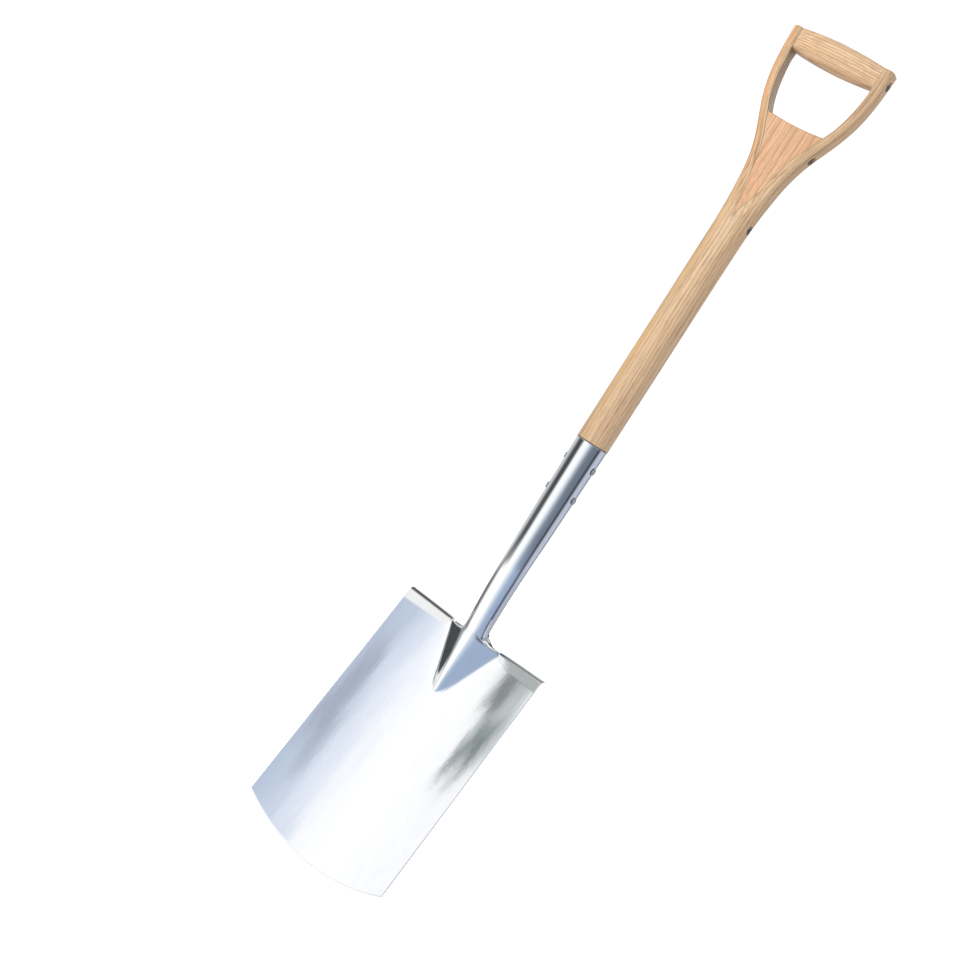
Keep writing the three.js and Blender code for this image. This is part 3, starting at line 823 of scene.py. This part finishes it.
def rivet_metal(name, dirt_and_painted_shade, bare):
    """Turned rivet stock, duller than the sheet, with small tool marks and random darker patches; on the
    handle rivets the near-black tone is painted shade of their seats.
    """
    r = Recipe(bpy.data.materials.new(name))
    place = r.coordinates()
    grain = r.noise(place, 900.0, 3.0, 0.6)
    tone = r.mix(r.rise(r.noise(place, 420.0, 2.0, 0.5), 0.35, 0.62), dirt_and_painted_shade, bare)
    rough = r.line(grain, 0.22, 0.2)
    r.shade(Base_Color=tone, Metallic=1.0, Roughness=rough, Normal=r.bump(grain, 0.15, 0.0004))
    return r.owner


def weld_metal():
    """Brushed-off weld: matt grey with a faint straw and blue heat tint and rough scales."""
    r = Recipe(bpy.data.materials.new("weld_metal"))
    place = r.coordinates()
    tints = [(0.3, (0.46, 0.47, 0.50)), (0.5, (0.62, 0.61, 0.60)), (0.72, (0.70, 0.66, 0.58))]
    tone = r.ramp(r.noise(place, 160.0, 3.0, 0.6), tints)
    grit = r.noise(place, 1500.0, 4.0, 0.65)
    rough = r.line(grit, 0.3, 0.28)
    r.shade(Base_Color=tone, Metallic=1.0, Roughness=rough, Normal=r.bump(grit, 0.35, 0.0005))
    return r.owner


# ---------------------------------------------------------------- wood
def ash_wood(name, pale, mid, dark, glow, ring_scale, ring_strength, pore_strength, detail=None):
    """Ash: wandering growth rings with a dark latewood line, open pores in dashes, fine fibres."""
    r = Recipe(bpy.data.materials.new(name))
    place = r.coordinates(grain=True)
    split = r.add("ShaderNodeSeparateXYZ")
    r.put(split.inputs[0], place)

    across = r.line(split.outputs[1], 0.45, split.outputs[0])
    wander = r.line(r.stretched(place, (22, 22, 2.6), 2.0, 0.5), 0.020, across)
    uneven = r.stretched(place, (150, 150, 1.5), 2.0, 0.5, (2, 8, 3))
    ring = r.math("FRACT", r.line(uneven, 1.6, r.times(wander, ring_scale)))
    late = r.ramp(ring, [(0.0, 0.65), (0.10, 0.05), (0.55, 0.0), (0.80, 0.28), (0.93, 1.0), (1.0, 0.55)])
    broken = r.stretched(place, (260, 260, 26), 3.0, 0.6, (1, 4, 2))
    late = r.times(late, r.ramp(broken, [(0.28, 0.5), (0.58, 1.0)]))
    fibre = r.stretched(place, (700, 700, 9), 5.0, 0.62)
    pores = r.rise(r.stretched(place, (900, 900, 75), 2.0, 0.5, (5, 2, 1)), 0.57, 0.63)
    dash = r.times(pores, r.line(late, 0.4, 0.6))

    slow = r.stretched(place, (40, 40, 3.2), 3.0, 0.5, (3, 1, 7))
    warm = r.stretched(place, (95, 95, 4.0), 3.0, 0.6, (9, 5, 1))
    tone = r.mix(r.rise(slow, 0.3, 0.7), pale, mid)
    tone = r.stain(tone, r.rise(warm, 0.52, 0.66), 0.5, glow)
    tone = r.stain(tone, late, ring_strength, dark)
    tone = r.stain(tone, r.rise(fibre, 0.38, 0.66), 0.58, tuple(0.66 * c for c in mid))
    bright = r.ramp(fibre, [(0.30, 1.0), (0.46, 0.0)])
    tone = r.stain(tone, bright, 0.35, tuple(min(1.15 * c, 1) for c in pale))
    tone = r.stain(tone, dash, pore_strength, tuple(0.75 * c for c in dark))
    if detail:
        tone = detail(r, split, tone)

    rough = r.line(dash, 0.15, r.line(fibre, 0.18, 0.40))
    relief = r.line(dash, -0.8, r.times(fibre, 0.5))
    r.shade(Base_Color=tone, Roughness=rough, Normal=r.bump(relief, 0.25, 0.0006))
    r.shade(Specular_IOR_Level=0.5, Coat_Weight=0.6, Coat_Roughness=0.3)
    return r.owner


def shaft_marks(r, split, tone):
    """Heartwood up the left side, aged arms, painted shade on the left arm's inner face, and a dark line at
    the socket that is part dirt and part painted shade.
    """
    grain = r.coordinates(grain=True)
    along = split.outputs[2]
    place = r.line(split.outputs[0], 25.0, 0.5)
    level = r.line(along, 4.0, -3.2)
    aged = r.rise(level, 0.0, 0.25)
    tone = r.stain(tone, aged, 0.34, (0.42, 0.29, 0.175))

    side = r.ramp(place, [(0.0, 0.0), (0.075, 0.1), (0.11, 1.0), (0.16, 0.9), (0.21, 0.0)])
    tone = r.stain(tone, r.times(side, r.rise(level, 0.0, 0.35)), 0.75, (0.66, 0.31, 0.12))

    patch = r.rise(r.stretched(grain, (150, 150, 10), 3.0, 0.6, (4, 4, 2)), 0.38, 0.56)
    low = r.ramp(place, [(0.10, 0.0), (0.17, 0.8), (0.25, 1.0), (0.33, 0.0)])
    reach = r.ramp(r.line(along, 2.0, -1.0), [(0.1, 0.2), (0.3, 1.0), (0.58, 1.0), (0.7, 0.0)])
    tone = r.stain(tone, r.times(r.times(low, reach), patch), 0.85, (0.64, 0.38, 0.12))

    # Painted shade: the left arm's inner face is darkened to stand in for the shade it lies in.
    inner = r.ramp(place, [(0.294, 0.0), (0.303, 1.0), (0.35, 1.0), (0.36, 0.0)])
    tone = r.stain(tone, r.times(inner, aged), 0.8, (0.17, 0.115, 0.075))

    streaks = r.rise(r.stretched(grain, (760, 760, 14), 3.0, 0.62, (7, 7, 7)), 0.50, 0.60)
    tone = r.stain(tone, streaks, r.line(aged, 0.45, 0.34), (0.27, 0.16, 0.085))

    # A dark line at the foot of the wood by the socket's lip: partly dirt, partly painted shade of the gap
    # between wood and steel.
    socket_line_dirt_and_shade = r.ramp(r.line(along, 100.0, -52.6), [(0.26, 1.0), (0.36, 0.0)])
    return r.stain(tone, socket_line_dirt_and_shade, 0.85, (0.07, 0.05, 0.035))


def wedge_marks(r, split, tone):
    """Darkens a thin band along the hollowed top edge."""
    square = r.times(split.outputs[0], split.outputs[0])
    depth = r.line(square, -1.84, split.outputs[2])
    edge = r.rise(r.line(depth, 200.0, -183.0), 0.24, 0.36)
    return r.stain(tone, edge, 0.6, (0.20, 0.10, 0.05))


def dress():
    """Gives every piece its material."""
    ash = ash_wood(
        "ash_wood", pale=(0.72, 0.54, 0.37), mid=(0.60, 0.42, 0.255), dark=(0.33, 0.19, 0.095),
        glow=(0.74, 0.46, 0.17), ring_scale=230.0, ring_strength=0.70, pore_strength=0.55, detail=shaft_marks)
    bar = ash_wood(
        "crossbar_wood", pale=(0.69, 0.505, 0.34), mid=(0.59, 0.395, 0.235), dark=(0.22, 0.125, 0.06),
        glow=(0.72, 0.46, 0.22), ring_scale=330.0, ring_strength=1.0, pore_strength=0.4)
    wedge = ash_wood(
        "wedge_wood", pale=(0.645, 0.42, 0.265), mid=(0.58, 0.345, 0.195), dark=(0.34, 0.16, 0.07),
        glow=(0.70, 0.38, 0.19), ring_scale=150.0, ring_strength=0.80, pore_strength=0.25, detail=wedge_marks)
    # Painted shade: the handle rivets' metal is made near-black to stand in for the shade in the seats they
    # sit in.
    rivet = rivet_metal("rivet_metal", (0.04, 0.04, 0.04), (0.34, 0.335, 0.33))
    stud = rivet_metal("socket_rivet_metal", (0.36, 0.37, 0.39), (0.78, 0.79, 0.81))
    weld = weld_metal()
    looks = {
        "blade_sheet": polished_steel("blade_steel", (160, 160, 7), 0.14, 0.035),
        "back_plate_sheet": polished_steel("plate_steel", (240, 240, 20), 0.20, 0.18),
        "socket_tube": polished_steel("tube_steel", (420, 420, 9), 0.05, 0.035),
        "ash_shaft": ash, "ash_crossbar": bar, "ash_wedge": wedge,
    }
    for piece in bpy.context.scene.objects:
        name = piece.name
        if name in looks:
            look = looks[name]
        elif name.startswith("weld_bead"):
            look = weld
        elif name.endswith(("_pin", "_washer")):
            look = stud if name.startswith("socket_rivet") else rivet
        else:
            continue
        if piece.material_slots:
            for slot in piece.material_slots:
                slot.material = look
        else:
            piece.data.materials.append(look)


# ---------------------------------------------------------------- studio
def build_floor():
    size, drop = 4.0, -0.0006
    mesh = bpy.data.meshes.new("floor")
    corners = [(x * size, y * size, drop) for x, y in ((-1, -1), (1, -1), (1, 1), (-1, 1))]
    mesh.from_pydata(corners, [], [(0, 1, 2, 3)])
    floor = add_object("floor", mesh)
    r = Recipe(bpy.data.materials.new("floor_paint"))
    cloud = r.noise(r.coordinates(), 3.0, 2.0, 0.5)
    r.shade(Base_Color=r.mix(cloud, (0.90, 0.90, 0.90), (0.92, 0.92, 0.92)), Roughness=0.9)
    r.shade(Emission_Color=(1, 1, 1, 1), Emission_Strength=0.75)
    mesh.materials.append(r.owner)
    floor.visible_glossy = False
    floor.visible_diffuse = False


# What the polished steel mirrors, all the way round: the bearing in degrees, 0 in front of the
# spade and 90 to its right, then the colour there. LEVEL is the band at eye height.
LEVEL = (
    (-180, 0.12, 0.12, 0.13), (-168, 0.36, 0.37, 0.40), (-150, 0.55, 0.56, 0.58), (-104, 0.56, 0.57, 0.58),
    (-90, 0.30, 0.31, 0.32), (-80, 0.15, 0.15, 0.16), (-71, 0.06, 0.065, 0.07), (-52, 0.07, 0.075, 0.08),
    (-44, 0.20, 0.21, 0.21), (-38, 0.60, 0.62, 0.61), (-30, 0.95, 0.96, 0.96), (-10, 0.95, 0.98, 1.0),
    (1, 0.84, 0.88, 0.92), (13, 0.58, 0.62, 0.67), (24, 0.35, 0.40, 0.46), (35, 0.20, 0.235, 0.28),
    (48, 0.155, 0.185, 0.23), (62, 0.14, 0.165, 0.21), (73, 0.16, 0.185, 0.23), (81, 0.07, 0.08, 0.11),
    (89, 0.05, 0.06, 0.08), (96, 0.11, 0.13, 0.17), (106, 0.44, 0.47, 0.55), (130, 0.49, 0.53, 0.62),
    (152, 0.40, 0.43, 0.51), (168, 0.30, 0.31, 0.36), (180, 0.12, 0.12, 0.13),
)
ABOVE = (
    (-180, 0.30, 0.30, 0.30), (-110, 0.40, 0.41, 0.41), (-75, 0.60, 0.61, 0.61), (-46, 0.92, 0.92, 0.92),
    (-24, 1.0, 1.0, 1.0), (-17, 0.93, 0.94, 0.98), (-11, 0.72, 0.77, 0.87), (-6, 0.52, 0.60, 0.72),
    (-1, 0.46, 0.53, 0.65), (20, 0.36, 0.42, 0.52), (90, 0.34, 0.39, 0.48), (180, 0.30, 0.30, 0.30),
)
BELOW = (
    (-180, 0.45, 0.45, 0.45), (-135, 0.25, 0.25, 0.26), (-112, 0.16, 0.16, 0.165), (-97, 0.19, 0.19, 0.195),
    (-84, 0.32, 0.32, 0.33), (-72, 0.9, 0.9, 0.9), (-60, 1.0, 1.0, 1.0), (-4, 1.0, 1.0, 1.0),
    (20, 0.60, 0.67, 0.77), (45, 0.34, 0.43, 0.58), (80, 0.30, 0.38, 0.54), (90, 0.10, 0.12, 0.16),
    (104, 0.12, 0.14, 0.19), (112, 0.40, 0.44, 0.54), (180, 0.40, 0.40, 0.43),
)
# Soft-edged cards in degrees: centre (bearing, height), half size, soft edge, colour, strength.
CARDS = (
    ((-9, 8.2), (4.5, 0.8), (4, 2), (0.56, 0.63, 0.76), 0.6),
    ((-5, 14.2), (1.2, 1.3), (1.6, 1.2), (0.30, 0.33, 0.40), 0.65),
    ((-7.5, 12.2), (0.8, 0.8), (1.2, 0.8), (0.32, 0.36, 0.43), 0.6),
    ((-38.2, 14.7), (2.4, 2.6), (1.8, 1.2), (0.41, 0.45, 0.44), 0.8),
    ((-35.6, 15.6), (1.2, 1.1), (1.5, 0.8), (0.10, 0.11, 0.11), 0.9),
    ((-37.2, 12.3), (1.9, 0.5), (1.6, 0.7), (0.14, 0.18, 0.175), 0.9),
)
HIGH_CARD = ((-40.0, 26.0), (5.0, 9.0), (4.0, 3.0), (0.33, 0.355, 0.35), 0.85)
STRENGTH = 1.12


def build_sky():
    """A white studio with the bands and cards that polished steel needs to show its form."""
    world = bpy.data.worlds.new("studio")
    bpy.context.scene.world = world
    r = Recipe(world)
    r.tree.nodes.clear()
    split = r.add("ShaderNodeSeparateXYZ")
    r.put(split.inputs[0], r.add("ShaderNodeTexCoord").outputs["Generated"])
    azimuth = r.math("ARCTAN2", split.outputs[0], r.times(split.outputs[1], -1.0))
    turn = r.line(azimuth, 0.5 / math.pi, 0.5)
    height = r.times(r.math("ARCSINE", split.outputs[2]), 180 / math.pi)
    bearing = r.times(azimuth, 180 / math.pi)

    # One slow noise makes the outlines wander by a few degrees.
    joined = r.add("ShaderNodeCombineXYZ")
    r.put(joined.inputs[0], r.times(bearing, 0.30))
    r.put(joined.inputs[1], r.times(height, 0.22))
    ragged = r.noise(joined.outputs[0], 1.6, 5.0, 0.6)
    ragged_bearing = r.math("ADD", bearing, r.line(ragged, 7.0, -3.5))
    ragged_height = r.math("ADD", height, r.line(ragged, -5.0, 2.5))
    ragged_turn = r.line(ragged, 9 / 360, r.math("SUBTRACT", turn, 4.5 / 360))

    def around(place, stops):
        return r.ramp(place, [((degrees + 180) / 360, tuple(colour)) for degrees, *colour in stops])

    def climb(low, high):
        return r.rise(r.line(height, 1 / 180, 0.5), 0.5 + low / 180, 0.5 + high / 180)

    def band(value, centre, half, soft):
        reach = r.add("ShaderNodeMapRange", interpolation_type="SMOOTHSTEP")
        r.put(reach.inputs["Value"], r.math("ABSOLUTE", r.math("SUBTRACT", value, centre)))
        reach.inputs["From Min"].default_value = half
        reach.inputs["From Max"].default_value = half + soft
        reach.inputs["To Min"].default_value = 1.0
        reach.inputs["To Max"].default_value = 0.0
        return reach.outputs[0]

    def card(seen, centre, half, soft, colour, amount):
        wide = band(ragged_bearing, centre[0], half[0], soft[0])
        tall = band(ragged_height, centre[1], half[1], soft[1])
        return r.stain(seen, r.times(wide, tall), amount, colour)

    seen = r.mix(climb(0.5, 3.5), around(turn, LEVEL), around(ragged_turn, ABOVE))
    seen = r.mix(climb(-9.5, -7), around(turn, BELOW), seen)
    for one in CARDS:
        seen = card(seen, *one)
    seen = r.mix(climb(18, 21), seen, (0.86, 0.86, 0.85))
    seen = card(seen, *HIGH_CARD)
    seen = r.mix(climb(33, 42), seen, (0.30, 0.31, 0.31))
    seen = r.mix(climb(55, 65), seen, (0.05, 0.05, 0.055))
    seen = r.mix(climb(-52, -42), (0.45, 0.47, 0.50), seen)

    # Matt surfaces get an even fill instead, and the camera sees white.
    side = r.mix(r.rise(split.outputs[0], 0.0, 0.8), (0.66, 0.66, 0.66), (0.44, 0.445, 0.48))
    fill = r.mix(climb(-20, 5), (1.12, 1.02, 0.90), side)
    path = r.add("ShaderNodeLightPath")
    colour = r.mix(path.outputs["Is Diffuse Ray"], seen, fill)
    colour = r.mix(path.outputs["Is Camera Ray"], colour, (1.0, 1.0, 1.0))
    background = r.add("ShaderNodeBackground")
    r.put(background.inputs["Color"], colour)
    background.inputs["Strength"].default_value = STRENGTH
    r.put(r.add("ShaderNodeOutputWorld").inputs["Surface"], background.outputs[0])


def soft_light(name, place, target, size, watts, colour):
    data = bpy.data.lights.new(name, "AREA")
    data.shape = "DISK"
    data.size = size
    data.energy = watts
    data.color = colour
    lamp = add_object(name, data)
    lamp.location = place
    lamp.rotation_euler = (Vector(target) - Vector(place)).to_track_quat("-Z", "Y").to_euler()
    lamp.visible_glossy = False


def build_lights():
    middle = (CAD_LOW + CAD_HIGH) / 2
    soft_light("key_light", (-0.55, -2.4, 1.8), middle, 1.1, 47.0, (1.0, 0.985, 0.96))
    soft_light("back_light", (0.9, 1.9, 1.9), middle, 1.2, 40.0, (0.95, 0.97, 1.0))


def build_camera():
    """Long lens, slightly above the middle of the spade, turned about its own axis."""
    azimuth, elevation, roll = map(math.radians, (24.0, 4.4, 32.46))
    distance = 1.85
    target = Vector((-0.087, SHIFT[1], 0.43 + SHIFT[2]))
    data = bpy.data.cameras.new("camera")
    data.lens = 64.39
    data.sensor_width = 36.0
    data.clip_end = 50.0
    camera = add_object("camera", data)
    level = math.cos(elevation)
    back = Vector((math.sin(azimuth) * level, -math.cos(azimuth) * level, math.sin(elevation)))
    right = (-back).cross(Vector((0, 0, 1))).normalized()
    up = right.cross(-back)
    x_axis = right * math.cos(roll) + up * math.sin(roll)
    y_axis = up * math.cos(roll) - right * math.sin(roll)
    turned = Matrix((x_axis, y_axis, back)).transposed().to_4x4()
    turned.translation = target + back * distance
    camera.matrix_world = turned
    bpy.context.scene.camera = camera


# ---------------------------------------------------------------- build
build_camera()
build_blade()
build_plate()
build_socket()
build_welds()
build_shaft()
build_wedge()
build_crossbar()
build_rivets()
dress()
build_floor()
build_sky()
build_lights()
bpy.context.scene.view_settings.view_transform = "Standard"
bpy.context.scene.view_settings.look = "None"
